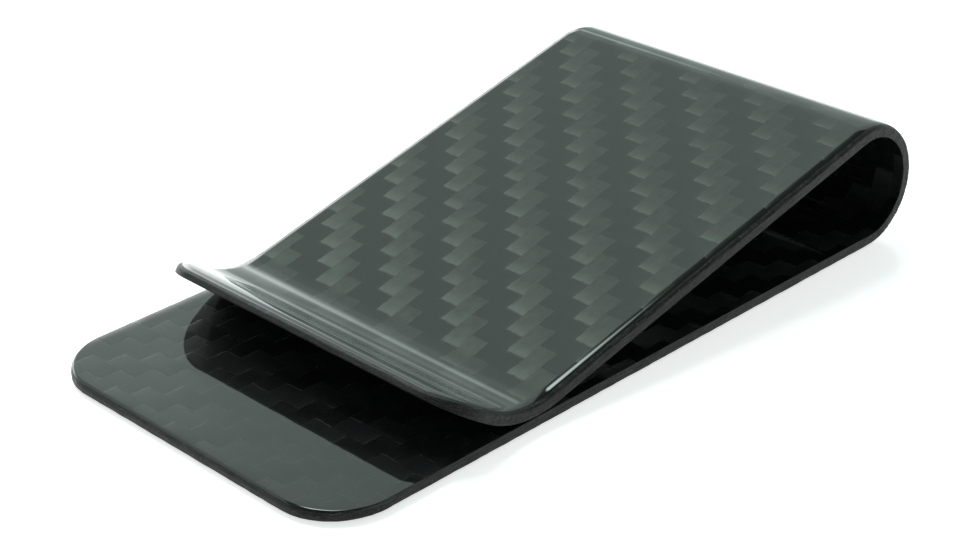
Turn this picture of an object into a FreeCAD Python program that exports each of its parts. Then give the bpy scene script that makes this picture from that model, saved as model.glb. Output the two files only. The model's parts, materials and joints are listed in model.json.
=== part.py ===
"""A sprung money clip, moulded in one strip from bonded layers of carbon fibre.

The strip is a flat base that folds round a loop at the rear into a sloping arm.
The arm presses on the base near its free end, and its tip turns up as a lip that
guides the notes in. Through its thickness the strip is seven bonded layers: a
clear coat and a twill ply on each face, and three core plies between them.

Each layer is cut where the loop meets the base and the arm, because the loop is
the spring and the arm is what moves. Lengths are in millimetres, angles in degrees.
"""
import FreeCAD, Part
import math
import os
import Sketcher

DRIVING_DIMENSIONS = {
    "clip_length": 72.2,       # rear of the loop to the front edge of the base
    "clip_width": 38.0,
    "loop_radius": 6.1,        # outside of the loop
    "arm_slope": 13.0,         # the arm falls towards the base by this angle
    "lip_radius": 8.8,         # outer face of the lip's bend
    "lip_rise": 34.0,          # angle of the lip's straight end above level
    "lip_flat": 4.7,           # straight end of the lip
    "base_corner": 6.0,        # rounding of the base's front corners
    "lip_corner": 4.0,         # rounding of the lip's corners
    "pinch_gap": 0.08,         # arm to base where they all but touch
    "coat_thickness": 0.05,
    "ply_thickness": 0.22,
    "edge_roll_width": 1.15,   # the outer face rolls over this far from the edge
    "edge_roll_depth": 0.4,    # and has fallen this far at the edge
}

# Layers from the outer face of the strip to the inner face.
LAYERS = {
    "outer_clear_coat": "coat_thickness",
    "outer_twill_ply": "ply_thickness",
    "outer_core_ply": "ply_thickness",
    "middle_core_ply": "ply_thickness",
    "inner_core_ply": "ply_thickness",
    "inner_twill_ply": "ply_thickness",
    "inner_clear_coat": "coat_thickness",
}

LAMINATE = "(2 * Sheet.coat_thickness + 5 * Sheet.ply_thickness)"
BASE_LENGTH = "(Sheet.clip_length - Sheet.loop_radius)"
LOOP_CENTRE_X = "(Sheet.clip_length / 2 - Sheet.loop_radius)"
LOOP_SWEEP = "(180 + Sheet.arm_slope)"
LIP_TURN = "(Sheet.arm_slope + Sheet.lip_rise)"

# The arm's straight run ends where the lip's bend, tangent to it, has its lowest
# point one laminate and the pinch gap above the base.
ARM_RUN = (
    "((Sheet.loop_radius * (1 + cos(Sheet.arm_slope))"
    " - Sheet.lip_radius * (1 - cos(Sheet.arm_slope))"
    f" - 2 * {LAMINATE} - Sheet.pinch_gap) / sin(Sheet.arm_slope))"
)

# Points of a sketch element, as sketch constraints number them.
START, END = 1, 2
# The sketch's own origin and vertical axis, as sketch constraints number them.
ORIGIN_POINT = (-1, 1)
VERTICAL_AXIS = -2

VOLUME_TOLERANCE = 0.001


def make_sheet(doc):
    """Put every driving dimension in a spreadsheet cell, with its name as alias."""
    sheet = doc.addObject("Spreadsheet::Sheet", "Sheet")
    for row, (alias, value) in enumerate(DRIVING_DIMENSIONS.items(), start=1):
        cell = f"A{row}"
        sheet.set(cell, str(value))
        sheet.setAlias(cell, alias)
    doc.recompute()
    return sheet


def value_of(item, expression):
    """What an expression on the sheet comes to now."""
    return float(item.evalExpression(expression))


def roll_set_back(depth):
    """The rolled edge's set-back at a depth, as a share of the roll's width.

    The roll is a quarter of an ellipse that ends at the edge of the strip.
    """
    roll_depth = DRIVING_DIMENSIONS["edge_roll_depth"]
    if depth >= roll_depth:
        return 0.0
    left_to_fall = (roll_depth - depth) / roll_depth
    return 1 - math.sqrt(1 - left_to_fall ** 2)


def describe_layers():
    """Each layer's depth below the outer face, its thickness and its width, as expressions.

    A layer's edge is set back as far as the roll is at the middle of its thickness.
    """
    layers = {}
    cells_above = ["0"]
    depth = 0.0
    for layer, cell in LAYERS.items():
        thickness = DRIVING_DIMENSIONS[cell]
        set_back = f"({roll_set_back(depth + thickness / 2):.4f} * Sheet.edge_roll_width)"
        layers[layer] = {
            "depth": "(" + " + ".join(cells_above) + ")",
            "thickness": f"Sheet.{cell}",
            "set_back": set_back,
            "width": f"(Sheet.clip_width - 2 * {set_back})",
        }
        cells_above.append(f"Sheet.{cell}")
        depth += thickness
    return layers


def origin_feature(body, role):
    """The plane or axis of a body's own origin that has this role."""
    for feature in body.Origin.OriginFeatures:
        if feature.Role == role:
            return feature
    raise ValueError(f"{body.Label} has no {role}")


def make_body(doc, label):
    """A body whose own origin is the centre of the loop."""
    body = doc.addObject("PartDesign::Body", label)
    body.Label = label
    body.setExpression("Placement.Base.x", LOOP_CENTRE_X)
    body.setExpression("Placement.Base.z", "Sheet.loop_radius")
    return body


def attach_sketch(body, name, role):
    """A new sketch on one of the body's own origin planes."""
    sketch = body.newObject("Sketcher::SketchObject", name)
    sketch.AttachmentSupport = (origin_feature(body, role), [""])
    sketch.MapMode = "FlatFace"
    return sketch


def add_dimension(sketch, name, kind, elements, expression):
    """Add a dimension to a sketch and bind it to the sheet."""
    constraint = Sketcher.Constraint(kind, *elements, value_of(sketch, expression))
    index = sketch.addConstraint(constraint)
    sketch.renameConstraint(index, name)
    sketch.setExpression(f"Constraints.{name}", expression)


def cross_section(body, layer, foot):
    """A layer's cross-section: a rectangle standing at height foot, centred on the width."""
    sketch = attach_sketch(body, "cross_section", "YZ_Plane")
    sketch.setExpression("AttachmentOffset.Base.y", foot)
    half_width = value_of(sketch, layer["width"]) / 2
    top = value_of(sketch, layer["thickness"])
    corners = [(-half_width, 0), (half_width, 0), (half_width, top), (-half_width, top)]
    points = [FreeCAD.Vector(y, z, 0) for y, z in corners]
    bottom, right, upper, left = range(4)
    for side in (bottom, right, upper, left):
        sketch.addGeometry(Part.LineSegment(points[side], points[(side + 1) % 4]), False)
    for side in (bottom, right, upper, left):
        sketch.addConstraint(Sketcher.Constraint("Coincident", side, END, (side + 1) % 4, START))
    sketch.addConstraint(Sketcher.Constraint("Symmetric", bottom, START, bottom, END, *ORIGIN_POINT))
    sketch.addConstraint(Sketcher.Constraint("Horizontal", upper))
    sketch.addConstraint(Sketcher.Constraint("Vertical", right))
    sketch.addConstraint(Sketcher.Constraint("Vertical", left))
    add_dimension(sketch, "width", "DistanceX", (bottom, START, bottom, END), layer["width"])
    add_dimension(sketch, "thickness", "DistanceY", (right, START, right, END), layer["thickness"])
    return sketch


def arm_spine(body, layer):
    """The outer face of the arm seen from the side, before it is tilted to its slope.

    A level run from above the loop's centre, the lip's bend, and the lip's flat.
    """
    sketch = attach_sketch(body, "spine", "XZ_Plane")
    flat_length = f"(Sheet.lip_flat - {layer['set_back']})"
    height = value_of(sketch, "Sheet.loop_radius")
    radius = value_of(sketch, "Sheet.lip_radius")
    flat = value_of(sketch, flat_length)
    turn = math.radians(value_of(sketch, LIP_TURN))
    run_end = FreeCAD.Vector(-value_of(sketch, ARM_RUN), height, 0)
    bend_centre = run_end + FreeCAD.Vector(0, radius, 0)
    bend_end = bend_centre + radius * FreeCAD.Vector(-math.sin(turn), -math.cos(turn), 0)
    tip = bend_end + flat * FreeCAD.Vector(-math.cos(turn), math.sin(turn), 0)
    circle = Part.Circle(bend_centre, FreeCAD.Vector(0, 0, 1), radius)
    straight_down = -math.pi / 2
    run, bend, lip = range(3)
    sketch.addGeometry(Part.LineSegment(FreeCAD.Vector(0, height, 0), run_end), False)
    sketch.addGeometry(Part.ArcOfCircle(circle, straight_down - turn, straight_down), False)
    sketch.addGeometry(Part.LineSegment(bend_end, tip), False)
    sketch.addConstraint(Sketcher.Constraint("PointOnObject", run, START, VERTICAL_AXIS))
    sketch.addConstraint(Sketcher.Constraint("Horizontal", run))
    sketch.addConstraint(Sketcher.Constraint("Tangent", run, END, bend, END))
    sketch.addConstraint(Sketcher.Constraint("Tangent", bend, START, lip, START))
    add_dimension(sketch, "rise", "DistanceY", (*ORIGIN_POINT, run, START), "Sheet.loop_radius")
    add_dimension(sketch, "run", "DistanceX", (run, END, run, START), ARM_RUN)
    add_dimension(sketch, "bend_radius", "Radius", (bend,), "Sheet.lip_radius")
    add_dimension(sketch, "flat", "Distance", (lip,), flat_length)
    sketch.addConstraint(Sketcher.Constraint("Angle", bend, turn))
    sketch.renameConstraint(sketch.ConstraintCount - 1, "turn")
    sketch.setExpression("Constraints.turn", f"{LIP_TURN} * 1 deg")
    return sketch


def free_corner_edges(shape, thickness):
    """Names of the two short edges at the free end, which is the end furthest towards -X."""
    short = []
    for number, edge in enumerate(shape.Edges, start=1):
        if abs(edge.Length - thickness) < thickness / 10:
            short.append((edge.CenterOfMass.x, f"Edge{number}"))
    return [name for _, name in sorted(short)[:2]]


def round_free_corners(doc, body, feature, layer, corner):
    """Round the corners at the free end of a layer, and give the volume this takes away."""
    doc.recompute()
    thickness = value_of(body, layer["thickness"])
    radius = f"({corner} - {layer['set_back']})"
    fillet = body.newObject("PartDesign::Fillet", "rounded_corners")
    fillet.Base = (feature, free_corner_edges(feature.Shape, thickness))
    fillet.setExpression("Radius", radius)
    waste_share = 1 - math.pi / 4
    return 2 * waste_share * value_of(body, radius) ** 2 * thickness


def section_area(body, layer):
    return value_of(body, layer["width"]) * value_of(body, layer["thickness"])


def make_base_layer(doc, name, layer):
    """A layer of the base: a flat plate from under the loop to the front edge."""
    body = make_body(doc, f"base_{name}")
    length = f"({BASE_LENGTH} - {layer['set_back']})"
    plate = body.newObject("PartDesign::Pad", "plate")
    plate.Profile = cross_section(body, layer, f"{layer['depth']} - Sheet.loop_radius")
    plate.Reversed = True
    plate.setExpression("Length", length)
    waste = round_free_corners(doc, body, plate, layer, "Sheet.base_corner")
    return body, section_area(body, layer) * value_of(body, length) - waste


def make_loop_layer(doc, name, layer):
    """A layer of the loop: the cross-section turned from the base round to the arm."""
    body = make_body(doc, f"loop_{name}")
    bend = body.newObject("PartDesign::Revolution", "bend")
    bend.Profile = cross_section(body, layer, f"{layer['depth']} - Sheet.loop_radius")
    bend.ReferenceAxis = (origin_feature(body, "Y_Axis"), [""])
    bend.Reversed = True
    bend.setExpression("Angle", LOOP_SWEEP)
    middle_radius = f"(Sheet.loop_radius - {layer['depth']} - {layer['thickness']} / 2)"
    path = value_of(body, middle_radius) * math.radians(value_of(body, LOOP_SWEEP))
    return body, section_area(body, layer) * path


def make_arm_layer(doc, name, layer):
    """A layer of the arm: swept along the straight run and the lip, then tilted."""
    body = make_body(doc, f"arm_{name}")
    foot = f"Sheet.loop_radius - {layer['depth']} - {layer['thickness']}"
    section = cross_section(body, layer, foot)
    spine = arm_spine(body, layer)
    strip = body.newObject("PartDesign::AdditivePipe", "strip")
    strip.Profile = section
    strip.Spine = (spine, ["Edge1", "Edge2", "Edge3"])
    waste = round_free_corners(doc, body, strip, layer, "Sheet.lip_corner")
    body.Placement.Rotation = FreeCAD.Rotation(FreeCAD.Vector(0, -1, 0), 1)
    body.setExpression("Placement.Rotation.Angle", "Sheet.arm_slope * 1 deg")
    middle_radius = f"(Sheet.lip_radius + {layer['depth']} + {layer['thickness']} / 2)"
    bend_length = value_of(body, middle_radius) * math.radians(value_of(body, LIP_TURN))
    flat = value_of(body, f"Sheet.lip_flat - {layer['set_back']}")
    path = value_of(body, ARM_RUN) + bend_length + flat
    return body, section_area(body, layer) * path - waste


def check_document(doc, sections):
    """Stop if an object failed to build, or a layer isn't one solid of the right volume."""
    for item in doc.Objects:
        if "Invalid" in item.State or "Error" in item.State:
            raise RuntimeError(f"{item.Label} failed: {item.State}")
    for body, expected_volume in sections:
        shape = body.Shape
        if shape.isNull() or not shape.isValid() or len(shape.Solids) != 1:
            raise RuntimeError(f"{body.Label} isn't one valid solid")
        if abs(shape.Volume / expected_volume - 1) > VOLUME_TOLERANCE:
            raise RuntimeError(f"{body.Label}: {shape.Volume} mm3, not {expected_volume} mm3")


def main():
    doc = FreeCAD.newDocument("money_clip")
    make_sheet(doc)
    sections = []
    for name, layer in describe_layers().items():
        for make_layer in (make_base_layer, make_loop_layer, make_arm_layer):
            sections.append(make_layer(doc, name, layer))
    doc.recompute()
    check_document(doc, sections)
    os.makedirs("parts", exist_ok=True)
    for body, _ in sections:
        body.Shape.exportStep(f"parts/{body.Label}.step")
        box = body.Shape.BoundBox
        print(f"{body.Label}: {body.Shape.Volume:.2f} mm3, x {box.XMin:.2f} to {box.XMax:.2f},"
              f" y {box.YMin:.2f} to {box.YMax:.2f}, z {box.ZMin:.2f} to {box.ZMax:.2f}")


main()
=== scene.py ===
import json
import math
from collections import namedtuple

import bmesh
import bpy
import numpy as np
from mathutils import Matrix, Vector


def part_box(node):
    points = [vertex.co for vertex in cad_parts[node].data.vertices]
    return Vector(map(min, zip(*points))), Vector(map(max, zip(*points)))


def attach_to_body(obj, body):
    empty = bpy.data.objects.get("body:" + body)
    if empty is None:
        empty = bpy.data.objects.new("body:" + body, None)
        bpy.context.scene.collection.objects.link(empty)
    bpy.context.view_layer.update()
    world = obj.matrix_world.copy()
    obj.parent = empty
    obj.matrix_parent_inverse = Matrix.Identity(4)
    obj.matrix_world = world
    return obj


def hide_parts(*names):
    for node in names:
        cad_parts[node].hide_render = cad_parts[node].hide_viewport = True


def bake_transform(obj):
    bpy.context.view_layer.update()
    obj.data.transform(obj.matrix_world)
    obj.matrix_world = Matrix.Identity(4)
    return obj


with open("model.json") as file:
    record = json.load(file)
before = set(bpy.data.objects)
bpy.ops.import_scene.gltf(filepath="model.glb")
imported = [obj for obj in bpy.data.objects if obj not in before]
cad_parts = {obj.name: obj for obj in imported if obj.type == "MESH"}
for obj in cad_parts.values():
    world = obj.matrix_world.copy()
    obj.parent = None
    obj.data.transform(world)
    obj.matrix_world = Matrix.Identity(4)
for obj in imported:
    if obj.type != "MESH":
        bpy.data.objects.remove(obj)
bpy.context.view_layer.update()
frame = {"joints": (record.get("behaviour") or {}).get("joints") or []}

MM = 0.001

# ---------------------------------------------------------------- sizes, from the frame

HINGE = Vector(frame["joints"][0]["pos_m"])
CORE_LOW, CORE_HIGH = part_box("base_middle_core_ply")
WIDTH = CORE_HIGH.y - CORE_LOW.y
FRONT_X = CORE_LOW.x
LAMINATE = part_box("base_inner_clear_coat")[1].z
PINCH_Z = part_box("arm_inner_clear_coat")[0].z
SKIN_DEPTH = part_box("base_outer_core_ply")[0].z
CORE_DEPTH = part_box("base_inner_core_ply")[1].z
LOOP_RADIUS = HINGE.z
SLOPE = math.asin((HINGE.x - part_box("loop_outer_clear_coat")[0].x) / LOOP_RADIUS)

# Sizes that no box gives, the same as in the part's own source.
LIP_RADIUS = 8.8 * MM
LIP_RISE = math.radians(34.0)
LIP_FLAT = 4.7 * MM
BASE_CORNER = 6.0 * MM
LIP_CORNER = 4.0 * MM
ROLL_WIDTH = 1.15 * MM
ROLL_DEPTH = 0.4 * MM

ARM_RUN = (
    LOOP_RADIUS * (1 + math.cos(SLOPE)) - LIP_RADIUS * (1 - math.cos(SLOPE)) - LAMINATE - PINCH_Z
) / math.sin(SLOPE)
LOOP_SWEEP = math.pi + SLOPE
LIP_TURN = SLOPE + LIP_RISE

# Distances along the outer face, from the front edge of the base to the tip of the lip.
LOOP_START = HINGE.x - FRONT_X
LOOP_END = LOOP_START + LOOP_RADIUS * LOOP_SWEEP
BEND_START = LOOP_END + ARM_RUN
BEND_END = BEND_START + LIP_RADIUS * LIP_TURN
TIP = BEND_END + LIP_FLAT

# The loop's pieces reach a little way onto the flat stretches, so that faces meet in line.
SEAM_OVERHANG = 1.5 * MM
BASE_SEAM = LOOP_START - SEAM_OVERHANG
ARM_SEAM = LOOP_END + SEAM_OVERHANG

# ---------------------------------------------------------------- the finish of the edges

# The lacquered roll ends this far in from the side, where a small step leads to the sanded face.
GLOSS_EDGE = 0.40 * MM
COAT_STEP = 0.02 * MM
INNER_EDGE_RADIUS = 0.07 * MM
FRONT_INNER_RADIUS = 0.55 * MM
CUT_WANDER = 0.035 * MM

# The tip of the lip is sanded thinner and rounder than the sides.
TIP_GLOSS_EDGE = 0.34 * MM
TIP_ROLL_DEPTH = 0.5 * MM
TIP_INNER_RADIUS = 0.25 * MM
TIP_DROOP = 0.4 * MM
TIP_DROOP_LENGTH = 2.8 * MM

# How much of the cut's unevenness shows where the gloss ends, and where the inner skin starts.
SANDED_WANDER = 0.6
INNER_WANDER = 0.8

# ---------------------------------------------------------------- how finely meshes are divided

# The flat faces: faces across the width, and the spacing of rows along the strip.
COLUMNS = 48
FLAT_SPACING = 0.5 * MM
LIP_SPACING = 0.25 * MM
BEND_SPACING = 0.12 * MM
CORNER_POINTS = 25

# The edge profiles. The first few points round a sealed inner edge stay bare.
GLOSS_POINTS = 14
SANDED_POINTS = 6
CORE_ROLL_POINTS = 5
CORE_CUT_POINTS = 9
INNER_EDGE_POINTS = 9
BARE_POINTS = 3

# Lines where faces meet at more than this angle are shaded sharp.
SHARP_ANGLE = math.radians(35)

# ---------------------------------------------------------------- the strip as a curve


def heading(angle):
    """Unit vector along the strip where its heading is at this angle, in the XZ plane."""
    return np.stack([np.cos(angle), np.zeros_like(angle), np.sin(angle)], -1)


def outward(angle):
    """Unit vector out of the outer face where the heading is at this angle."""
    return np.stack([np.sin(angle), np.zeros_like(angle), -np.cos(angle)], -1)


def turned(along):
    """How far the strip has turned at a distance along it: up round the loop, back in the lip."""
    loop_angle = np.clip(along - LOOP_START, 0, LOOP_END - LOOP_START) / LOOP_RADIUS
    bend_angle = np.clip(along - BEND_START, 0, BEND_END - BEND_START) / LIP_RADIUS
    return loop_angle, bend_angle


def sanded_depth(along, depth):
    """Depth below the outer face as moulded, where sanding has thinned the lip towards its tip."""
    near_tip = np.clip(1 - (TIP - along) / TIP_DROOP_LENGTH, 0, 1)
    return depth + TIP_DROOP * near_tip**2 * (1 - depth / LAMINATE)


def strip_point(along, across, depth):
    """The point at a distance along the outer face, across the width and below the face."""
    along, across, depth = np.broadcast_arrays(
        np.asarray(along, float), np.asarray(across, float), np.asarray(depth, float)
    )
    loop_angle, bend_angle = turned(along)
    in_base = np.minimum(along, LOOP_START)
    in_arm = np.clip(along - LOOP_END, 0, ARM_RUN)
    in_flat = np.maximum(along - BEND_END, 0)
    full_turn = np.full_like(along, LOOP_SWEEP)
    angle = loop_angle - bend_angle
    point = np.array([FRONT_X, 0, 0]) + in_base[..., None] * np.array([1, 0, 0])
    point = point + LOOP_RADIUS * (outward(loop_angle) - outward(0 * along))
    point = point + in_arm[..., None] * heading(full_turn)
    point = point + LIP_RADIUS * (outward(full_turn) - outward(full_turn - bend_angle))
    point = point + in_flat[..., None] * heading(angle)
    point = point - depth[..., None] * outward(angle)
    point[..., 1] += across
    return point


def length_at_depth(along, depth):
    """Distance along the strip measured at a depth, which the loop shortens and the lip lengthens."""
    loop_angle, bend_angle = turned(along)
    return along - depth * loop_angle + depth * bend_angle


# ---------------------------------------------------------------- the edge profiles

# An edge's own sizes. Its inner kind says whether the rounded inner edge is cut or lacquered.
Edge = namedtuple("Edge", "gloss_edge roll_depth inner_radius inner_kind")

SIDE_EDGE = Edge(GLOSS_EDGE, ROLL_DEPTH, INNER_EDGE_RADIUS, "cut")
SEALED_EDGE = SIDE_EDGE._replace(inner_kind="gloss")

# Each section's edge along its sides, and at its free end if it has one.
EDGES = {
    "base": (SEALED_EDGE, SEALED_EDGE._replace(inner_radius=FRONT_INNER_RADIUS)),
    "loop": (SIDE_EDGE, SIDE_EDGE),
    "arm": (SIDE_EDGE, Edge(TIP_GLOSS_EDGE, TIP_ROLL_DEPTH, TIP_INNER_RADIUS, "cut")),
}

# A point of a profile: inset from the side, depth, the kind of the face that leads down to it, and
# how much of the cut's unevenness it has. The first and last points give the flat faces' kinds too.
Point = namedtuple("Point", "inset depth kind wander")


def buried(depth):
    """The face of a layer that lies against the next layer, at a depth."""
    return Point(ROLL_WIDTH, depth, "hidden", 0.0)


def roll_inset(depth, roll_depth):
    """Inset from the side at which the rolled edge reaches a depth."""
    drop = 1 - depth / roll_depth
    return ROLL_WIDTH * (1 - math.sqrt(1 - drop * drop))


def roll(first_inset, last_inset, count, roll_depth):
    """Points (inset, depth) down the rolled edge between two insets, evenly spaced by its angle."""
    first, last = (math.asin(1 - inset / ROLL_WIDTH) for inset in (first_inset, last_inset))
    angles = np.linspace(first, last, count)
    return [(ROLL_WIDTH * (1 - math.sin(a)), roll_depth * (1 - math.cos(a))) for a in angles]


def cut_inset(depth, inner_radius):
    """Inset of the cut face at a depth: none, until the inner face's edge starts to round over."""
    past = max(0.0, depth - LAMINATE + inner_radius) / inner_radius
    return inner_radius * (1 - math.sqrt(1 - past * past))


def outer_skin_profile(edge):
    """Outer coat and twill: the rolled glossy edge, a small step, then the sanded face."""
    glossy_roll = roll(ROLL_WIDTH, edge.gloss_edge, GLOSS_POINTS, edge.roll_depth)
    gloss = [Point(inset, depth, "gloss", 0.0) for inset, depth in glossy_roll]
    gloss[-1] = gloss[-1]._replace(wander=SANDED_WANDER)
    skin_inset = roll_inset(SKIN_DEPTH, edge.roll_depth)
    sanded_roll = roll(edge.gloss_edge - COAT_STEP, skin_inset, SANDED_POINTS, edge.roll_depth)
    shares = np.linspace(0, 1, SANDED_POINTS)
    sanded = [
        Point(inset, depth + COAT_STEP * (1 - share), "cut", SANDED_WANDER + (1 - SANDED_WANDER) * share)
        for share, (inset, depth) in zip(shares, sanded_roll)
    ]
    return gloss + sanded + [buried(SKIN_DEPTH)]


def core_profile(edge):
    """The three core plies: the end of the roll, then the square cut face."""
    rolled = roll(roll_inset(SKIN_DEPTH, edge.roll_depth), 0, CORE_ROLL_POINTS, edge.roll_depth)
    rounded = [Point(inset, depth, "cut", 1.0) for inset, depth in rolled]
    depths = np.linspace(edge.roll_depth, CORE_DEPTH, CORE_CUT_POINTS)[1:]
    square = [Point(cut_inset(depth, edge.inner_radius), depth, "cut", 1.0) for depth in depths]
    return [buried(SKIN_DEPTH)] + rounded + square + [buried(CORE_DEPTH)]


def inner_skin_profile(edge):
    """Inner twill and coat: the cut face, then its rounded edge down to the glossy inner face."""
    radius = edge.inner_radius
    square = [Point(cut_inset(CORE_DEPTH, radius), CORE_DEPTH, "cut", 1.0)]
    first_turn = math.asin(max(0.0, CORE_DEPTH - LAMINATE + radius) / radius)
    turns = np.linspace(first_turn, math.pi / 2, INNER_EDGE_POINTS)[1:]
    rounded = [
        Point(
            radius * (1 - math.cos(turn)),
            LAMINATE - radius * (1 - math.sin(turn)),
            "cut" if k < BARE_POINTS else edge.inner_kind,
            INNER_WANDER * (1 - k / len(turns)),
        )
        for k, turn in enumerate(turns)
    ]
    inner_face = [Point(ROLL_WIDTH, LAMINATE, "gloss", 0.0)]
    return [buried(CORE_DEPTH)] + square + rounded + inner_face


# ---------------------------------------------------------------- the unevenness of the cut


def wave_set(seed, count, shortest, longest):
    """Random plane waves for a seeded roughness: directions with lengths, and phases."""
    draw = np.random.default_rng(seed)
    lengths = np.exp(draw.uniform(math.log(shortest), math.log(longest), count))
    turns = draw.uniform(0, 2 * math.pi, count)
    tilts = draw.uniform(-1, 1, count)
    phases = draw.uniform(0, 2 * math.pi, count)
    flat = np.sqrt(1 - tilts * tilts)
    directions = np.stack([np.cos(turns) * flat, np.sin(turns) * flat, tilts], -1)
    return 2 * math.pi * directions / lengths[:, None], phases


CUT_WAVES = wave_set(seed=11, count=40, shortest=0.35 * MM, longest=3.0 * MM)


def roughness(points):
    """A smooth random height of about one unit at each point."""
    directions, phases = CUT_WAVES
    return np.sin(points @ directions.T + phases).sum(-1) * math.sqrt(2 / len(phases))


def cut_wander(outline, depth):
    """How far sanding has taken the cut face in at each point of the outline, at a depth."""
    seen_at = np.stack([outline[:, 0], outline[:, 1], depth], -1)
    return CUT_WANDER * (0.5 + 0.5 * roughness(seen_at).clip(-1, 1))


# ---------------------------------------------------------------- rows of a section


def section_rows(first, last, spacing):
    """Evenly spaced distances along a stretch of the strip, both ends included."""
    return np.linspace(first, last, 1 + math.ceil(abs(last - first) / spacing))


def free_end_rows(seam, end, corner, straight_rows):
    """Rows from the seam to a free end: distance along, half width, and the edge's own normal."""
    side = np.sign(end - seam)
    angles = np.linspace(0, math.pi / 2, CORNER_POINTS)[1:]
    inner_radius = corner - ROLL_WIDTH
    along = np.concatenate([straight_rows, end - side * (corner - inner_radius * np.sin(angles))])
    straight_half = np.full(len(straight_rows), WIDTH / 2 - ROLL_WIDTH)
    half = np.concatenate([straight_half, WIDTH / 2 - corner + inner_radius * np.cos(angles)])
    normal_along = np.concatenate([np.zeros(len(straight_rows)), side * np.sin(angles)])
    normal_across = np.concatenate([np.ones(len(straight_rows)), np.cos(angles)])
    return along, half, normal_along, normal_across


def plain_rows(rows):
    """Rows of a section with a seam at both ends."""
    return rows, np.full(len(rows), WIDTH / 2 - ROLL_WIDTH), 0 * rows, 0 * rows + 1


def sections():
    """Each section's name, rows and whether it has a free end."""
    base_side = section_rows(BASE_SEAM, BASE_CORNER, FLAT_SPACING)
    yield "base", free_end_rows(BASE_SEAM, 0.0, BASE_CORNER, base_side), True
    loop_rows = np.concatenate(
        [
            section_rows(BASE_SEAM, LOOP_START, FLAT_SPACING)[:-1],
            section_rows(LOOP_START, LOOP_END, BEND_SPACING),
            section_rows(LOOP_END, ARM_SEAM, FLAT_SPACING)[1:],
        ]
    )
    yield "loop", plain_rows(loop_rows), False
    arm_side = np.concatenate(
        [
            section_rows(ARM_SEAM, BEND_START, FLAT_SPACING)[:-1],
            section_rows(BEND_START, BEND_END, BEND_SPACING),
            section_rows(BEND_END, TIP - LIP_CORNER, LIP_SPACING)[1:],
        ]
    )
    yield "arm", free_end_rows(ARM_SEAM, TIP, LIP_CORNER, arm_side), True


def boundaries(rows, has_free_end):
    """Runs of boundary points round a section: grid row, grid column and plan normal of each."""
    along, _, normal_along, normal_across = rows
    last = len(along) - 1
    left = [(k, 0, normal_along[k], -normal_across[k]) for k in range(last + 1)]
    right = [(k, COLUMNS, normal_along[k], normal_across[k]) for k in range(last, -1, -1)]
    if not has_free_end:
        return [left, right]
    front = [(last, j, normal_along[last], 0.0) for j in range(1, COLUMNS)]
    return [left + front + right]


# ---------------------------------------------------------------- meshes of the sections


class ClosedMesh:
    """Points and faces of a closed mesh, gathered as if the strip lay flat."""

    def __init__(self):
        self.plans = []
        self.depths = []
        self.distances = []
        self.faces = []
        self.kinds = []
        self.size = 0

    def add_points(self, plan, depth, distance):
        """Add points by plan place (along, across), depth and distance round the outline."""
        self.plans.append(plan)
        self.depths.append(depth)
        self.distances.append(distance)
        first = self.size
        self.size += len(plan)
        return np.arange(first, self.size)

    def add_face(self, corners, kind):
        """A face between numbered points, of kind gloss, cut or hidden."""
        self.faces.append(tuple(int(corner) for corner in corners))
        self.kinds.append(kind)

    def add_band(self, upper, lower, kind):
        """Faces that join two rows of points."""
        for b in range(len(upper) - 1):
            self.add_face((upper[b], upper[b + 1], lower[b + 1], lower[b]), kind)

    def add_grid(self, plan, point):
        """A whole flat face at a profile point's depth. Gives the numbers of its points."""
        count = plan.shape[0] * plan.shape[1]
        numbers = self.add_points(plan.reshape(-1, 2), np.full(count, point.depth), np.zeros(count))
        grid = numbers.reshape(plan.shape[:2])
        for upper, lower in zip(grid, grid[1:]):
            self.add_band(upper, lower, point.kind)
        return grid


def add_edge(mesh, plan, run, top, bottom, side_profile, tip_profile):
    """The edge face along one run of boundary points, from the top grid down to the bottom grid.

    Where the run faces along the strip, the side profile turns into the tip profile. Gives the
    point numbers down the edge at each end of the run, by their grid place.
    """
    picks = tuple(np.array([(k, j) for k, j, _, _ in run]).T)
    normals = np.array([(along, across) for _, _, along, across in run])
    outline = plan[picks] + ROLL_WIDTH * normals
    steps = np.linalg.norm(np.diff(outline, axis=0), axis=1)
    distance = np.concatenate([[0], np.cumsum(steps)])
    at_tip = normals[:, 0] ** 2
    rings = [top[picks]]
    for side, tip in zip(side_profile[1:-1], tip_profile[1:-1]):
        inset = side.inset * (1 - at_tip) + tip.inset * at_tip
        depth = side.depth * (1 - at_tip) + tip.depth * at_tip
        inset = inset + side.wander * cut_wander(outline, depth)
        ring_plan = plan[picks] + (ROLL_WIDTH - inset)[:, None] * normals
        rings.append(mesh.add_points(ring_plan, depth, distance))
    rings.append(bottom[picks])
    for upper, lower, point in zip(rings, rings[1:], side_profile[1:]):
        mesh.add_band(upper, lower, point.kind)
    return {run[end][:2]: [ring[end] for ring in rings] for end in (0, -1)}


def section_mesh(rows, has_free_end, side_profile, tip_profile):
    """Some layers of one section as a closed mesh, from its rows and its edge profiles.

    A profile goes from the top face down the edge to the bottom face. Both have as many points.
    """
    along, half = rows[0], rows[1]
    share = np.linspace(-1, 1, COLUMNS + 1)
    plan = np.stack([np.repeat(along[:, None], COLUMNS + 1, 1), half[:, None] * share[None, :]], -1)
    mesh = ClosedMesh()
    top = mesh.add_grid(plan, side_profile[0])
    bottom = mesh.add_grid(plan, side_profile[-1])
    seam_ends = {}
    for run in boundaries(rows, has_free_end):
        seam_ends.update(add_edge(mesh, plan, run, top, bottom, side_profile, tip_profile))
    for corners in seam_ends.values():
        mesh.add_face(corners, "hidden")
    for row in sorted({row for row, _ in seam_ends}):
        mesh.add_band(top[row], bottom[row], "hidden")
    return mesh


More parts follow.
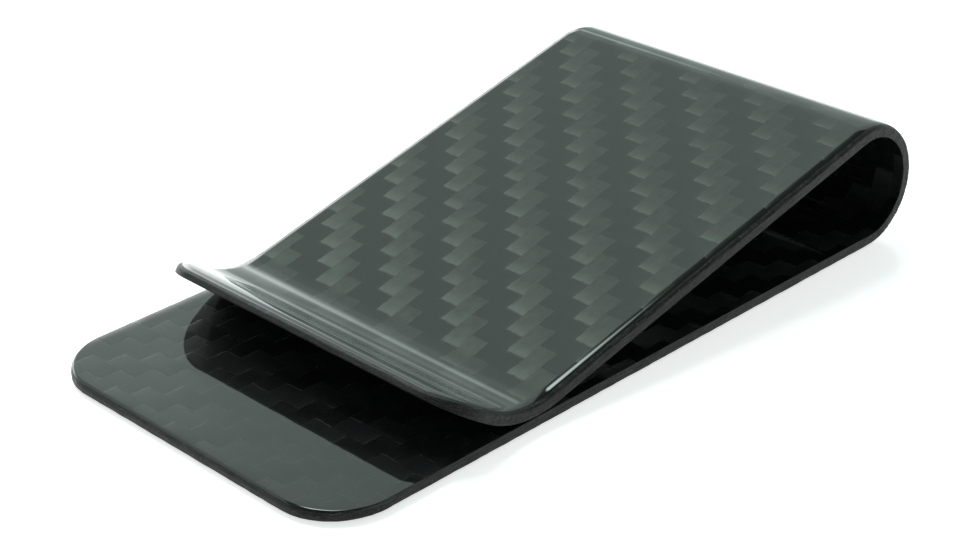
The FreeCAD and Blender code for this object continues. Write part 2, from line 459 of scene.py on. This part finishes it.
def add_uv(data, name, values):
    """A UV layer from one pair of values for each vertex."""
    vertex_of_loop = np.zeros(len(data.loops), int)
    data.loops.foreach_get("vertex_index", vertex_of_loop)
    layer = data.uv_layers.new(name=name)
    layer.data.foreach_set("uv", values[vertex_of_loop].ravel().astype(np.float32))


def smooth_faces(data):
    """Point all faces outwards and shade them smooth, with sharp lines at the corners."""
    work = bmesh.new()
    work.from_mesh(data)
    bmesh.ops.recalc_face_normals(work, faces=work.faces)
    for face in work.faces:
        face.smooth = True
    for line in work.edges:
        line.smooth = line.calc_face_angle(0) < SHARP_ANGLE
    work.to_mesh(data)
    work.free()


# ---------------------------------------------------------------- the weave's place on the strip

TOW = 2.045 * MM
TOW_START_ALONG = LOOP_END + 33.65 * MM
TOW_START_ACROSS = 9.7 * MM


def piece_from(name, mesh):
    """A Blender object of a gathered mesh, bent to the strip's shape and mapped for its materials.

    The map "weave" is the place in tow widths; "edge" is the distance round the outline and the
    depth, in millimetres.
    """
    along, across = np.concatenate(mesh.plans).T
    depth = np.concatenate(mesh.depths)
    distance = np.concatenate(mesh.distances)
    points = strip_point(along, across, sanded_depth(along, depth))
    data = bpy.data.meshes.new(name)
    data.from_pydata(points.tolist(), [], mesh.faces)
    weave_along = (length_at_depth(along, depth) - length_at_depth(TOW_START_ALONG, 0)) / TOW
    weave_across = (-across - TOW_START_ACROSS) / TOW
    add_uv(data, "weave", np.stack([weave_along, weave_across], -1))
    add_uv(data, "edge", np.stack([distance / MM, depth / MM], -1))
    slots = [0 if kind == "gloss" else 1 for kind in mesh.kinds]
    data.polygons.foreach_set("material_index", slots)
    piece = bpy.data.objects.new(name, data)
    bpy.context.scene.collection.objects.link(piece)
    smooth_faces(data)
    return piece


# ---------------------------------------------------------------- helpers for nodes


class Nodes:
    """A node tree with short helpers for its arithmetic."""

    def __init__(self, tree):
        self.tree = tree

    def node(self, kind, **settings):
        made = self.tree.nodes.new(kind)
        for key, value in settings.items():
            setattr(made, key, value)
        return made

    def feed(self, socket, value):
        """Link a socket to another node's output, or set its own value."""
        if isinstance(value, bpy.types.NodeSocket):
            self.tree.links.new(value, socket)
        else:
            socket.default_value = value

    def math(self, operation, *values):
        made = self.node("ShaderNodeMath", operation=operation)
        for socket, value in zip(made.inputs, values):
            self.feed(socket, value)
        return made.outputs[0]

    def plus(self, first, second):
        return self.math("ADD", first, second)

    def minus(self, first, second):
        return self.math("SUBTRACT", first, second)

    def times(self, first, second):
        return self.math("MULTIPLY", first, second)

    def power(self, base, exponent):
        return self.math("POWER", base, exponent)

    def ramp(self, value, low, high, out_low=0.0, out_high=1.0, interpolation="LINEAR"):
        """The value carried from one range to another, and held outside it."""
        made = self.node("ShaderNodeMapRange", interpolation_type=interpolation)
        self.feed(made.inputs["Value"], value)
        made.inputs["From Min"].default_value = low
        made.inputs["From Max"].default_value = high
        made.inputs["To Min"].default_value = out_low
        made.inputs["To Max"].default_value = out_high
        return made.outputs[0]

    def separate(self, vector):
        made = self.node("ShaderNodeSeparateXYZ")
        self.feed(made.inputs[0], vector)
        return made.outputs


class Shader(Nodes):
    """The nodes of a new material."""

    def __init__(self, name):
        self.material = bpy.data.materials.new(name)
        self.material.use_nodes = True
        super().__init__(self.material.node_tree)
        self.bsdf = self.tree.nodes["Principled BSDF"]

    def mix(self, factor, first, second):
        made = self.node("ShaderNodeMix", data_type="RGBA")
        self.feed(made.inputs["Factor"], factor)
        self.feed(made.inputs["A"], first)
        self.feed(made.inputs["B"], second)
        return made.outputs["Result"]

    def uv(self, layer):
        parts = self.separate(self.node("ShaderNodeUVMap", uv_map=layer).outputs[0])
        return parts[0], parts[1]

    def vector(self, x, y, z=0.0):
        made = self.node("ShaderNodeCombineXYZ")
        for socket, value in zip(made.inputs, (x, y, z)):
            self.feed(socket, value)
        return made.outputs[0]

    def noise(self, vector, scale, detail=2.0, roughness=0.5):
        made = self.node("ShaderNodeTexNoise")
        self.feed(made.inputs["Vector"], vector)
        made.inputs["Scale"].default_value = scale
        made.inputs["Detail"].default_value = detail
        made.inputs["Roughness"].default_value = roughness
        return made.outputs[0]

    def wander(self, vector, scale, amount):
        """A smooth random shift, up to half the amount each way."""
        return self.times(self.minus(self.noise(vector, scale), 0.5), amount)

    def bump(self, height, distance):
        made = self.node("ShaderNodeBump")
        self.feed(made.inputs["Height"], height)
        made.inputs["Distance"].default_value = distance
        made.inputs["Strength"].default_value = 1.0
        return made.outputs[0]

    def set(self, **values):
        """Feed the shader's own sockets, by name with _ for a space."""
        for name, value in values.items():
            self.feed(self.bsdf.inputs[name.replace("_", " ")], value)


def shade(colour, factor=1.0):
    """A colour made lighter or darker."""
    return tuple(part * factor for part in colour) + (1,)


# ---------------------------------------------------------------- the carbon twill

NO_TINT = (0.0, 0.0, 0.0)
# The warp's colour is lighter than the weft's as a painted sheen for the fibres' glossy reflection; both
# are the same black fibre.
OUTER_WARP_SHEEN = (0.038, 0.0415, 0.035)
OUTER_WEFT = (0.012, 0.014, 0.013)
OUTER_SPECULAR = 0.0
INNER_WARP_SHEEN = (0.015, 0.016, 0.015)
INNER_WEFT = (0.011, 0.012, 0.012)
INNER_SPECULAR = 0.35
FIBRE_METALLIC = 0.5
FIBRE_ROUGHNESS = (0.36, 0.44)
RELIEF = 0.085 * MM
QUARTER_TURN = 0.25

# The span that most of a noise's values lie in.
NOISE_RANGE = (0.3, 0.7)

# The pattern in tow widths: one repeat, how finely and how far tows drift and fray, and the soft
# border between warp and weft.
REPEAT = 4.0
DRIFT_SCALE, DRIFT = 0.35, 0.22
FRAY_SCALE, FRAY = 2.6, 0.12
BORDER = 0.06

# Fibre streaks: many across a tow, each long beside its width. The weft's come from another slice
# of the noise than the warp's.
STREAKS_ACROSS = 9.0
STREAKS_ALONG = 0.25
STREAK_SCALE = 3.0
STREAK_DETAIL = 3.0
WEFT_SLICE = 7.0

# The shape of a float: how squarely it dives at its ends and is rounded at its sides.
CRIMP_POWER, CRIMP_SHARE = 0.5, 0.75
CROWN_POWER, CROWN_SHARE = 0.3, 0.25

# What a tow's tone is made of, and the range of tones that goes from darkest to lightest. Each
# tow's own tone is read from the noise along one line for warp tows and another for weft tows.
FIBRE_SHARE, TOW_SHARE, BLOTCH_SHARE = 0.4, 0.3, 0.3
TOW_TONE_SCALE = 3.7
BLOTCH_SCALE, BLOTCH_DETAIL = 1.7, 3.0
WARP_LINE, WEFT_LINE = 3.0, 40.0
TONE_RANGE = (0.36, 0.64)
WARP_SHADES = (0.6, 1.4)
WEFT_SHADES = (0.7, 1.3)

# A warp float gets a painted highlight where it dives, between these places along it.
DIVE_HIGHLIGHT_RANGE = (1.35, 1.95)
DIVE_HIGHLIGHT_SHADE, DIVE_HIGHLIGHT_STRENGTH = 2.6, 0.35

# Distance from the middle of the laminate, in mm, where the roll ends and the flat face begins.
FACE_RANGE = (0.55, 0.598)
# The rolled edge's colour is the weft colour darkened: a painted shade for the dark line along the roll,
# which also hides the weave there.
ROLL_PAINTED_SHADE = 0.3


class Twill:
    """A 2x2 twill: tows over two and under two, stepping one each row.

    Warp tows run along the strip, one to a row, and weft tows across it, one to a column.
    """

    def __init__(self, shader):
        s = shader
        self.shader = shader
        plain_along, plain_across = s.uv("weave")
        self.place = s.vector(plain_along, plain_across)
        drift = s.wander(self.place, DRIFT_SCALE, DRIFT)
        fray = s.wander(self.place, FRAY_SCALE, FRAY)
        self.along = s.plus(plain_along, s.plus(drift, fray))
        self.across = s.minus(plain_across, s.minus(drift, fray))
        self.row = s.math("FLOOR", self.across)
        self.column = s.math("FLOOR", self.along)
        self.warp_place = s.math("FLOORED_MODULO", s.minus(self.along, self.row), REPEAT)
        self.weft_place = s.math("FLOORED_MODULO", s.minus(self.column, self.across), REPEAT)
        off_centre = s.math("ABSOLUTE", s.minus(self.warp_place, 1.0))
        self.warp = s.ramp(off_centre, 1 - BORDER, 1 + BORDER, 1.0, 0.0)
        self.weft = s.minus(1.0, self.warp)

    def choose(self, for_warp, for_weft):
        """One value where the warp is on top and another where the weft is."""
        s = self.shader
        return s.plus(s.times(for_warp, self.warp), s.times(for_weft, self.weft))

    def fibres(self):
        """Fine streaks along whichever tow is on top."""
        s = self.shader
        warp_streaks = s.vector(s.times(self.along, STREAKS_ALONG), s.times(self.across, STREAKS_ACROSS))
        weft_streaks = s.vector(
            s.times(self.along, STREAKS_ACROSS), s.times(self.across, STREAKS_ALONG), WEFT_SLICE
        )
        return self.choose(
            s.noise(warp_streaks, STREAK_SCALE, STREAK_DETAIL),
            s.noise(weft_streaks, STREAK_SCALE, STREAK_DETAIL),
        )

    def crimp(self, place, start):
        """Height of a float along its length: it dives under at both ends."""
        s = self.shader
        wave = s.math("SINE", s.times(s.minus(place, start), math.pi / 2))
        return s.power(s.math("MAXIMUM", wave, 0.0), CRIMP_POWER)

    def crown(self, place):
        """Height of a tow across its width: flat on top, with rounded shoulders."""
        s = self.shader
        return s.power(s.times(s.math("PINGPONG", place, 0.5), 2.0), CROWN_POWER)

    def relief(self):
        """Height of the tow that is on top."""
        s = self.shader
        crimps = self.choose(self.crimp(self.warp_place, 0.0), self.crimp(self.weft_place, 1.0))
        crowns = self.choose(self.crown(self.across), self.crown(self.along))
        return s.plus(s.times(crimps, CRIMP_SHARE), s.times(crowns, CROWN_SHARE))

    def tone(self, fibres):
        """From 0, darkest, to 1: fibres, each tow's own tone, and blotches over several tows."""
        s = self.shader
        tow_number = s.vector(self.choose(self.row, WEFT_LINE), self.choose(WARP_LINE, self.column))
        tow_tone = s.noise(tow_number, TOW_TONE_SCALE, detail=0.0)
        blotch = s.noise(self.place, BLOTCH_SCALE, BLOTCH_DETAIL)
        patchy = s.plus(s.times(tow_tone, TOW_SHARE), s.times(blotch, BLOTCH_SHARE))
        return s.ramp(s.plus(s.times(fibres, FIBRE_SHARE), patchy), *TONE_RANGE)

    def colour(self, tone, warp_sheen_colour, weft_colour):
        """Colour of the tow that is on top: warp floats lighter than weft as painted sheen, with a
        painted highlight where they dive.
        """
        s = self.shader
        plain_warp = s.mix(tone, *(shade(warp_sheen_colour, factor) for factor in WARP_SHADES))
        weft = s.mix(tone, *(shade(weft_colour, factor) for factor in WEFT_SHADES))
        # Painted highlight: the warp colour made lighter where a float dives.
        dive_highlight = s.times(s.ramp(self.warp_place, *DIVE_HIGHLIGHT_RANGE), DIVE_HIGHLIGHT_STRENGTH)
        warp = s.mix(dive_highlight, plain_warp, shade(warp_sheen_colour, DIVE_HIGHLIGHT_SHADE))
        return s.mix(self.warp, weft, warp)


def twill_material(name, warp_sheen_colour, weft_colour, specular):
    """Carbon twill under clear lacquer; the rolled edge is darkened as a painted shade, with no weave
    showing there.
    """
    s = Shader(name)
    twill = Twill(s)
    fibres = twill.fibres()
    depth = s.uv("edge")[1]
    off_middle = s.math("ABSOLUTE", s.minus(depth, LAMINATE / MM / 2))
    on_face = s.ramp(off_middle, *FACE_RANGE)
    weave_colour = twill.colour(twill.tone(fibres), warp_sheen_colour, weft_colour)
    tangent = s.node("ShaderNodeTangent", direction_type="UV_MAP", uv_map="weave")
    s.set(
        Base_Color=s.mix(on_face, shade(weft_colour, ROLL_PAINTED_SHADE), weave_colour),
        Metallic=FIBRE_METALLIC,
        Specular_IOR_Level=specular,
        Specular_Tint=shade(NO_TINT),
        Roughness=s.ramp(fibres, *NOISE_RANGE, *FIBRE_ROUGHNESS),
        Anisotropic=0.95,
        Anisotropic_Rotation=s.times(twill.warp, QUARTER_TURN),
        Tangent=tangent.outputs[0],
        Normal=s.bump(s.times(twill.relief(), on_face), RELIEF),
        Coat_Weight=1.0,
        Coat_Roughness=0.03,
        Coat_IOR=1.5,
    )
    return s.material


# ---------------------------------------------------------------- the cut edge and the floor

CUT_DARK = (0.001, 0.001, 0.001)
CUT_PALE = (0.030, 0.031, 0.030)
CUT_ROUGHNESS = (0.28, 0.55)
CUT_RELIEF = 0.12 * MM
RESIN = (0.085, 0.072, 0.056)
RESIN_STRENGTH = 0.7

# Noise over the cut face: stretches round the outline and down the face, scales and shares.
STREAK_STRETCH = (0.35, 9.0)
CUT_STREAK_SCALE = 1.3
GRAIN_SCALE = 4.0
STREAK_SHARE, GRAIN_SHARE = 0.6, 0.4
MOTTLE_RANGE = (0.43, 0.6)
FLECK_STRETCH = (1.5, 5.0)
FLECK_SLICE = 3.0
FLECK_SCALE = 2.2
FLECK_RANGE = (0.6, 0.7)

FLOOR_WHITE = (0.93, 0.93, 0.93)
FLOOR_GLOW = (1.0, 1.0, 1.0)
FLOOR_HALF = 3.0
FLOOR_DROP = 0.02 * MM


def cut_material():
    """The sanded edge of the laminate: dull plies in fine streaks, with a few pale resin flecks."""
    s = Shader("cut_laminate")
    around, depth = s.uv("edge")

    def stretched(stretch, slice_height=0.0):
        return s.vector(s.times(around, stretch[0]), s.times(depth, stretch[1]), slice_height)

    streaks = s.noise(stretched(STREAK_STRETCH), CUT_STREAK_SCALE, detail=4.0, roughness=0.6)
    grain = s.noise(s.vector(around, depth), GRAIN_SCALE, detail=4.0, roughness=0.65)
    flecks = s.ramp(s.noise(stretched(FLECK_STRETCH, FLECK_SLICE), FLECK_SCALE), *FLECK_RANGE)
    mottle = s.plus(s.times(streaks, STREAK_SHARE), s.times(grain, GRAIN_SHARE))
    plies = s.mix(s.ramp(mottle, *MOTTLE_RANGE), shade(CUT_DARK), shade(CUT_PALE))
    s.set(
        Base_Color=s.mix(s.times(flecks, RESIN_STRENGTH), plies, shade(RESIN)),
        Roughness=s.ramp(grain, *NOISE_RANGE, *CUT_ROUGHNESS),
        Specular_IOR_Level=0.2,
        Normal=s.bump(mottle, CUT_RELIEF),
    )
    return s.material


def floor_material():
    """Plain white floor."""
    s = Shader("studio_floor")
    s.set(Base_Color=shade(FLOOR_WHITE), Roughness=0.2)
    s.set(Emission_Color=shade(FLOOR_GLOW), Emission_Strength=0.67)
    return s.material


# ---------------------------------------------------------------- the pieces

LAYERS = (
    ("outer_skin", outer_skin_profile, ("outer_clear_coat", "outer_twill_ply"), "twill_carbon"),
    ("core", core_profile, ("outer_core_ply", "middle_core_ply", "inner_core_ply"), "core_carbon"),
    ("inner_skin", inner_skin_profile, ("inner_twill_ply", "inner_clear_coat"), "twill_carbon"),
)


def attach(piece, section):
    """Base and arm pieces ride on their body; the loop's piece has its placement baked into its mesh."""
    if section != "loop":
        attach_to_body(piece, section)
        return
    high = Vector((HINGE.x, 0, strip_point(ARM_SEAM, 0, LAMINATE)[2]))
    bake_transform(piece)


def build_pieces():
    """An outer skin, a core and an inner skin for each section, in place of its CAD layers."""
    outer = twill_material("outer_twill_under_lacquer", OUTER_WARP_SHEEN, OUTER_WEFT, OUTER_SPECULAR)
    inner = twill_material("inner_twill_under_lacquer", INNER_WARP_SHEEN, INNER_WEFT, INNER_SPECULAR)
    cut = cut_material()
    for section, rows, has_free_end in sections():
        for layer, profile, nodes, slot in LAYERS:
            side, tip = (profile(edge) for edge in EDGES[section])
            mesh = section_mesh(rows, has_free_end, side, tip)
            piece = piece_from(f"{section}_{layer}_look", mesh)
            piece.data.materials.append(inner if layer == "inner_skin" else outer)
            piece.data.materials.append(cut)
            attach(piece, section)
            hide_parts(*(f"{section}_{node}" for node in nodes))


def build_floor():
    """A wide plain floor just under the object."""
    data = bpy.data.meshes.new("floor")
    signs = ((-1, -1), (1, -1), (1, 1), (-1, 1))
    corners = [(x * FLOOR_HALF, y * FLOOR_HALF, -FLOOR_DROP) for x, y in signs]
    data.from_pydata(corners, [], [(0, 1, 2, 3)])
    data.materials.append(floor_material())
    floor = bpy.data.objects.new("floor", data)
    bpy.context.scene.collection.objects.link(floor)


# ---------------------------------------------------------------- studio light

# Angles are in degrees: azimuth from +X towards +Y, elevation up from the floor. A pair named _AT
# is an azimuth and an elevation. Any other pair is where a soft border starts and ends.

# Brightness of the wall by elevation, under a dark ceiling.
WALL = ((0, 0.8), (25, 0.95), (30, 1.15), (33, 1.0), (47, 1.2), (50, 0.25), (90, 0.25))
STUDIO_TINT = (0.83, 1.0, 0.95)

# The wall is dimmer behind the camera than ahead of it. This border is in cosines.
AHEAD_AT = (47, 0)
AHEAD_BORDER = (-0.4, 0.3)
BEHIND_CAMERA = 0.3

WINDOW_BRIGHTNESS = 3.0
WINDOW_RIGHT, WINDOW_LEFT = (45, 52), (95, 115)
WINDOW_TOP = (18, 28)

# A faint band of light on the wall.
GLOW_BRIGHTNESS = 1.3
GLOW_RIGHT = (38, 43)
GLOW_BOTTOM, GLOW_TOP = (16, 20), (20, 25)

SOFTBOX_BRIGHTNESS = 16.0
SOFTBOX_AT = (68, 62)
SOFTBOX_BORDER = (11, 3)


def direction(azimuth, elevation):
    """Unit vector at an azimuth and an elevation."""
    turn, rise = math.radians(azimuth), math.radians(elevation)
    return Vector((math.cos(turn) * math.cos(rise), math.sin(turn) * math.cos(rise), math.sin(rise)))


class Sky(Nodes):
    """The nodes of a world, with soft borders by direction."""

    def __init__(self, world):
        super().__init__(world.node_tree)
        self.place = self.node("ShaderNodeTexCoord").outputs["Generated"]
        x, y, self.height = self.separate(self.place)
        self.azimuth = self.math("ARCTAN2", y, x)

    def fade(self, value, start, end, low, high):
        """A ramp that starts and ends gently."""
        return self.ramp(value, start, end, low, high, "SMOOTHSTEP")

    def across(self, border, low, high):
        """From low to high across a border by azimuth."""
        start, end = (math.radians(angle) for angle in border)
        return self.fade(self.azimuth, start, end, low, high)

    def upward(self, border, low, high):
        """From low to high across a border by elevation."""
        start, end = (math.sin(math.radians(angle)) for angle in border)
        return self.fade(self.height, start, end, low, high)

    def towards(self, unit):
        """Cosine of the angle from a direction."""
        made = self.node("ShaderNodeVectorMath", operation="DOT_PRODUCT")
        self.feed(made.inputs[0], self.place)
        self.feed(made.inputs[1], unit)
        return made.outputs["Value"]

    def wall(self):
        """The wall all round, as a grey that depends on the elevation."""
        made = self.node("ShaderNodeValToRGB")
        self.feed(made.inputs[0], self.height)
        stops = made.color_ramp.elements
        while len(stops) < len(WALL):
            stops.new(0.5)
        for stop, (elevation, brightness) in zip(stops, WALL):
            stop.position = math.sin(math.radians(elevation))
            stop.color = (brightness, brightness, brightness, 1)
        return made.outputs[0]

    def window(self):
        """A bright window from the floor up, with soft borders."""
        sides = self.times(self.across(WINDOW_LEFT, 1.0, 0.0), self.upward(WINDOW_TOP, 1.0, 0.0))
        return self.times(self.across(WINDOW_RIGHT, 0.0, WINDOW_BRIGHTNESS), sides)

    def glow(self):
        """A faint band of light on the wall, at the height of the window's top."""
        band = self.times(self.upward(GLOW_BOTTOM, 0.0, 1.0), self.upward(GLOW_TOP, 1.0, 0.0))
        return self.times(self.across(GLOW_RIGHT, 0.0, GLOW_BRIGHTNESS), band)

    def softbox(self):
        """A round softbox, high up behind the object."""
        start, end = (math.cos(math.radians(angle)) for angle in SOFTBOX_BORDER)
        return self.fade(self.towards(direction(*SOFTBOX_AT)), start, end, 0.0, SOFTBOX_BRIGHTNESS)

    def tinted(self, brightness, tint):
        """A colour of the given tint and brightness."""
        made = self.node("ShaderNodeVectorMath", operation="SCALE")
        self.feed(made.inputs[0], tint)
        self.feed(made.inputs["Scale"], brightness)
        return made.outputs[0]

    def sum(self, first, second):
        """Two colours added."""
        made = self.node("ShaderNodeVectorMath", operation="ADD")
        self.feed(made.inputs[0], first)
        self.feed(made.inputs[1], second)
        return made.outputs[0]


def build_world():
    """Studio light as a sky: wall, a window low behind the object, and a softbox above it."""
    world = bpy.data.worlds.new("studio")
    bpy.context.scene.world = world
    world.use_nodes = True
    sky = Sky(world)
    ahead = sky.fade(sky.towards(direction(*AHEAD_AT)), *AHEAD_BORDER, BEHIND_CAMERA, 1.0)
    wall = sky.times(sky.plus(sky.wall(), sky.glow()), ahead)
    light = sky.tinted(sky.plus(wall, sky.softbox()), STUDIO_TINT)
    sky.feed(sky.tree.nodes["Background"].inputs["Color"], sky.sum(light, sky.window()))


# ---------------------------------------------------------------- camera

LENS = 83.74
SENSOR_WIDTH = 36.0
CLIP_START = 0.01
AIM = Vector((-2.03, -1.31, 3.43)) * MM
AIM_AZIMUTH = -43.13
CAMERA_ELEVATION = 27.65
CAMERA_ROLL = -2.29
CAMERA_DISTANCE = 202.6 * MM


def build_camera():
    """The camera, turned about the point that it looks at and moved back from it."""
    data = bpy.data.cameras.new("camera")
    data.lens = LENS
    data.sensor_width = SENSOR_WIDTH
    data.clip_start = CLIP_START
    camera = bpy.data.objects.new("camera", data)
    bpy.context.scene.collection.objects.link(camera)
    turn = Matrix.Rotation(math.radians(AIM_AZIMUTH), 4, "Z")
    tilt = Matrix.Rotation(math.radians(90 - CAMERA_ELEVATION), 4, "X")
    rolled = Matrix.Rotation(math.radians(CAMERA_ROLL), 4, "Z")
    back = Matrix.Translation((0, 0, CAMERA_DISTANCE))
    camera.matrix_world = Matrix.Translation(AIM) @ turn @ tilt @ rolled @ back
    bpy.context.scene.camera = camera


build_camera()
build_pieces()
build_floor()
build_world()
bpy.context.scene.view_settings.view_transform = "Standard"
